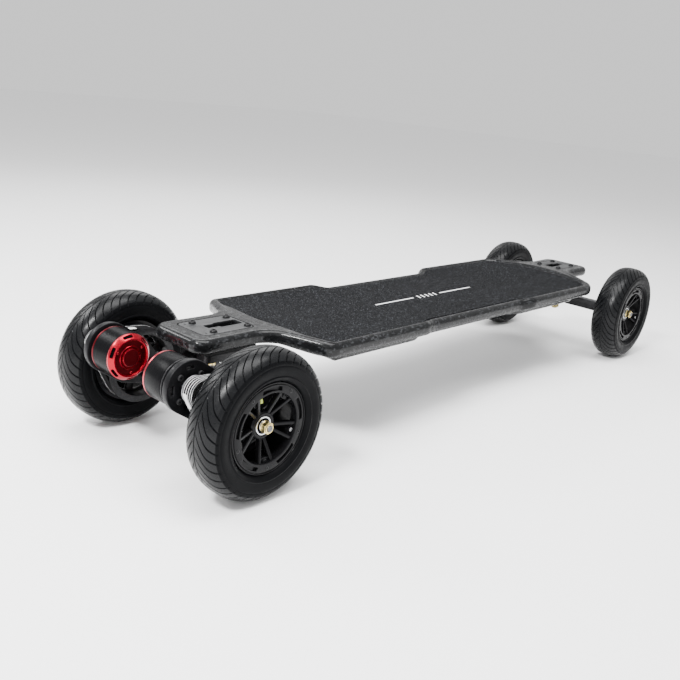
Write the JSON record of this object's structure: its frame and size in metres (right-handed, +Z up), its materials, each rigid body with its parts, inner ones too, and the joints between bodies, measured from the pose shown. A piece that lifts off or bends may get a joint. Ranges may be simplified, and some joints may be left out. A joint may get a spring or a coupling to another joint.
{
  "type": "electric skateboard",
  "caption": "All-terrain electric skateboard: carbon deck with a battery belly, sprung steering trucks, air tyres and belt-driven rear wheels.",
  "frame": {"origin": "on the ground, midway between the axles and between the wheels", "axes": "+X forward along the deck (motors are at -X), +Y left, +Z up"},
  "size_m": [1.1466, 0.3156, 0.178],
  "materials": {
    "carbon_shell": "clear-coated carbon weave",
    "grip_sheet": "coarse grit",
    "satin_plate": "satin",
    "lid_metal": "satin black",
    "battery_wrap": "shrink wrap",
    "controller_case": "finned, black",
    "socket_plastic": "satin",
    "riser_rubber": "matt",
    "black_casting": "black powder coat",
    "black_screws": "black oxide",
    "gold_plating": "yellow zinc plating",
    "bushing_rubber": "cast urethane",
    "axle_steel": "ground",
    "tyre_rubber": "pneumatic tyre, chevron tread",
    "hub_casting": "black casting",
    "red_anodised": "red anodising",
    "belt_rubber": "reinforced belt",
    "motor_black": "black anodising"
  },
  "bodies": {
    "deck": {"deck_shell": "carbon_shell", "grip_tape": "grip_sheet", "mount_plate_rear": "satin_plate", "mount_plate_front": "satin_plate", "belly_cover": "lid_metal", "battery_pack": "battery_wrap", "motor_controller": "controller_case", "charge_port": "socket_plastic", "riser_pad_rear": "riser_rubber", "riser_pad_front": "riser_rubber", "baseplate_rear": "black_casting", "baseplate_front": "black_casting", "deck_bolt_rear_1": "black_screws", "deck_bolt_rear_2": "black_screws", "deck_bolt_rear_3": "black_screws", "deck_bolt_rear_4": "black_screws", "deck_bolt_front_1": "black_screws", "deck_bolt_front_2": "black_screws", "deck_bolt_front_3": "black_screws", "deck_bolt_front_4": "black_screws", "kingpin_rear": "gold_plating", "kingpin_front": "gold_plating", "bushing_upper_rear": "bushing_rubber", "bushing_lower_rear": "bushing_rubber", "bushing_upper_front": "bushing_rubber", "bushing_lower_front": "bushing_rubber"},
    "button": {"power_button": "socket_plastic"},
    "rear_truck": {"hanger_rear": "black_casting", "axle_rear": "axle_steel", "motor_mount_left": "black_casting", "motor_mount_right": "black_casting", "motor_stator_left": "red_anodised", "motor_stator_right": "red_anodised", "belt_left": "belt_rubber", "belt_right": "belt_rubber", "axle_nut_rear_left": "gold_plating", "axle_nut_rear_right": "gold_plating"},
    "front_truck": {"hanger_front": "black_casting", "axle_front": "axle_steel", "axle_nut_front_left": "gold_plating", "axle_nut_front_right": "gold_plating"},
    "wheel_rear_left": {"tyre_rear_left": "tyre_rubber", "hub_rear_left": "hub_casting", "bearings_rear_left": "axle_steel", "wheel_pulley_left": "black_casting"},
    "wheel_rear_right": {"tyre_rear_right": "tyre_rubber", "hub_rear_right": "hub_casting", "bearings_rear_right": "axle_steel", "wheel_pulley_right": "black_casting"},
    "wheel_front_left": {"tyre_front_left": "tyre_rubber", "hub_front_left": "hub_casting", "bearings_front_left": "axle_steel"},
    "wheel_front_right": {"tyre_front_right": "tyre_rubber", "hub_front_right": "hub_casting", "bearings_front_right": "axle_steel"},
    "rotor_left": {"motor_can_left": "motor_black", "motor_cap_left": "red_anodised", "motor_pulley_left": "axle_steel"},
    "rotor_right": {"motor_can_right": "motor_black", "motor_pulley_right": "axle_steel"}
  },
  "joints": [
    {"name": "steer_rear", "type": "hinge", "parent": "deck", "child": "rear_truck", "pos_m": [-0.45498, 0, 0.09456], "axis": [-0.8788, 0, 0.4772], "range_deg": [-12, 12], "stiffness_Nm_per_rad": 60, "deforming": ["bushing_upper_rear", "bushing_lower_rear"]},
    {"name": "steer_front", "type": "hinge", "parent": "deck", "child": "front_truck", "pos_m": [0.45498, 0, 0.09456], "axis": [0.8788, 0, 0.4772], "range_deg": [-12, 12], "stiffness_Nm_per_rad": 60, "deforming": ["bushing_upper_front", "bushing_lower_front"]},
    {"name": "wheel_spin_rear_left", "type": "hinge", "parent": "rear_truck", "child": "wheel_rear_left", "pos_m": [-0.4843, 0.1323, 0.089], "axis": [0, 1, 0], "continuous": true},
    {"name": "wheel_spin_rear_right", "type": "hinge", "parent": "rear_truck", "child": "wheel_rear_right", "pos_m": [-0.4843, -0.1323, 0.089], "axis": [0, 1, 0], "continuous": true},
    {"name": "wheel_spin_front_left", "type": "hinge", "parent": "front_truck", "child": "wheel_front_left", "pos_m": [0.4843, 0.1323, 0.089], "axis": [0, 1, 0], "continuous": true},
    {"name": "wheel_spin_front_right", "type": "hinge", "parent": "front_truck", "child": "wheel_front_right", "pos_m": [0.4843, -0.1323, 0.089], "axis": [0, 1, 0], "continuous": true},
    {"name": "motor_spin_left", "type": "hinge", "parent": "rear_truck", "child": "rotor_left", "pos_m": [-0.542, 0.0667, 0.127], "axis": [0, 1, 0], "continuous": true},
    {"name": "motor_spin_right", "type": "hinge", "parent": "rear_truck", "child": "rotor_right", "pos_m": [-0.542, -0.0667, 0.127], "axis": [0, 1, 0], "continuous": true},
    {"name": "power_button_press", "type": "slide", "parent": "deck", "child": "button", "axis": [0, 0, 1], "range_m": [0, 0.0015], "stiffness_N_per_m": 400}
  ],
  "couplings": [
    {"joint": "motor_spin_left", "follows": "wheel_spin_rear_left", "ratio": 3.3333},
    {"joint": "motor_spin_right", "follows": "wheel_spin_rear_right", "ratio": 3.3333}
  ]
}
